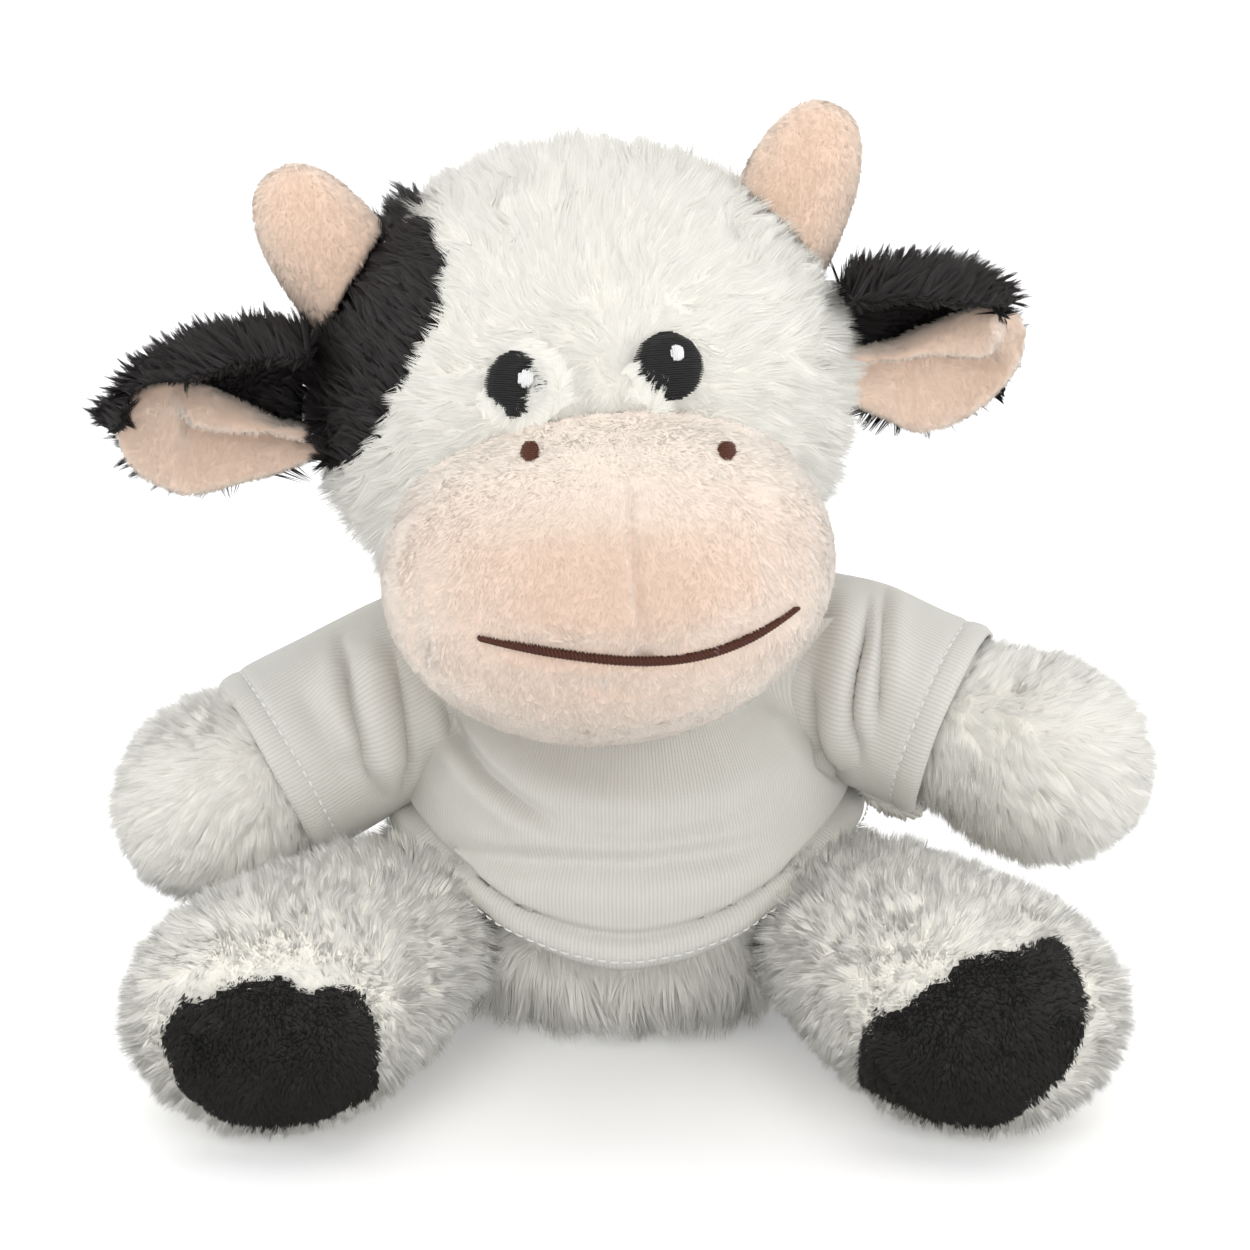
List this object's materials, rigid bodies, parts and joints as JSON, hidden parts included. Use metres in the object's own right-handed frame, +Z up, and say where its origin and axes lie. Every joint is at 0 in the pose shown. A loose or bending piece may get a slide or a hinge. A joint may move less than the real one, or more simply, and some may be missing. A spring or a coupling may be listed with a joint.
{
  "type": "plush cow",
  "caption": "Seated plush cow with a big rounded muzzle, short horns, floppy ears, a dark patch and dark soles, wearing a plain short-sleeved T-shirt.",
  "frame": {"origin": "middle of the torso's flat seat, on the floor", "axes": "+X to the right of someone facing the toy, across the outstretched arms; -Y the way the face looks; +Z up"},
  "size_m": [0.1769, 0.1611, 0.1573],
  "materials": {
    "white_fur": "tufted long plush pile",
    "black_fur": "tufted long plush pile",
    "sole_pile": "short plush pile",
    "pink_velboa": "short brushed pile",
    "filling": "loose polyester fibre",
    "black_thread": "satin stitch",
    "white_thread": "satin stitch",
    "brown_thread": "satin stitch",
    "shirt_jersey": "ribbed cotton knit",
    "tab_satin": "satin ribbon"
  },
  "bodies": {
    "torso": {"torso_skin": "white_fur", "torso_filling": "filling", "shirt_front": "shirt_jersey", "shirt_back": "shirt_jersey", "side_seam_tab": "tab_satin"},
    "head": {"head_skin": "white_fur", "head_patch": "black_fur", "head_filling": "filling", "muzzle_skin": "pink_velboa", "mouth_stitch": "brown_thread", "left_eye": "black_thread", "left_eye_glint": "white_thread", "left_nostril": "brown_thread", "left_horn_skin": "pink_velboa", "left_horn_filling": "filling", "right_eye": "black_thread", "right_eye_glint": "white_thread", "right_nostril": "brown_thread", "right_horn_skin": "pink_velboa", "right_horn_filling": "filling"},
    "left_ear": {"left_ear_back": "black_fur", "left_ear_lining": "pink_velboa"},
    "left_arm": {"left_arm_skin": "white_fur", "left_arm_filling": "filling", "left_sleeve": "shirt_jersey"},
    "left_leg": {"left_leg_skin": "white_fur", "left_leg_filling": "filling", "left_foot_sole": "sole_pile"},
    "right_ear": {"right_ear_back": "black_fur", "right_ear_lining": "pink_velboa"},
    "right_arm": {"right_arm_skin": "white_fur", "right_arm_filling": "filling", "right_sleeve": "shirt_jersey"},
    "right_leg": {"right_leg_skin": "white_fur", "right_leg_filling": "filling", "right_foot_sole": "sole_pile"},
    "tail": {"tail_cord": "white_fur", "tail_tuft": "black_fur"}
  },
  "joints": [
    {"name": "head_turn", "type": "hinge", "parent": "torso", "child": "head", "pos_m": [-0.0028, 0, 0.0645], "axis": [-0.1039, -0.0118, 0.9945], "range_deg": [-18, 18], "stiffness_Nm_per_rad": 0.3},
    {"name": "left_arm_raise", "type": "hinge", "parent": "torso", "child": "left_arm", "pos_m": [-0.03024, 0, 0.05913], "axis": [0, 1, 0], "range_deg": [-3, 24], "stiffness_Nm_per_rad": 0.15, "deforming": ["left_sleeve"]},
    {"name": "right_arm_raise", "type": "hinge", "parent": "torso", "child": "right_arm", "pos_m": [0.03024, 0, 0.06059], "axis": [0, -1, 0], "range_deg": [-3, 24], "stiffness_Nm_per_rad": 0.15, "deforming": ["right_sleeve"]},
    {"name": "left_leg_splay", "type": "hinge", "parent": "torso", "child": "left_leg", "pos_m": [-0.03096, -0.00468, 0.0185], "axis": [0, 0, -1], "range_deg": [-4, 7], "stiffness_Nm_per_rad": 0.3},
    {"name": "right_leg_splay", "type": "hinge", "parent": "torso", "child": "right_leg", "pos_m": [0.03096, -0.00468, 0.0185], "axis": [0, 0, 1], "range_deg": [-4, 7], "stiffness_Nm_per_rad": 0.3},
    {"name": "left_ear_fold", "type": "hinge", "parent": "head", "child": "left_ear", "pos_m": [-0.05396, -0.00583, 0.10956], "axis": [-0.1039, -0.0118, 0.9945], "range_deg": [-10, 10], "stiffness_Nm_per_rad": 0.03},
    {"name": "right_ear_fold", "type": "hinge", "parent": "head", "child": "right_ear", "pos_m": [0.03785, 0.00463, 0.12008], "axis": [-0.1039, -0.0118, 0.9945], "range_deg": [-10, 10], "stiffness_Nm_per_rad": 0.03},
    {"name": "tail_swing", "type": "hinge", "parent": "torso", "child": "tail", "pos_m": [0, 0.03284, 0.01679], "axis": [0, 0, 1], "range_deg": [-18, 18], "stiffness_Nm_per_rad": 0.03}
  ]
}
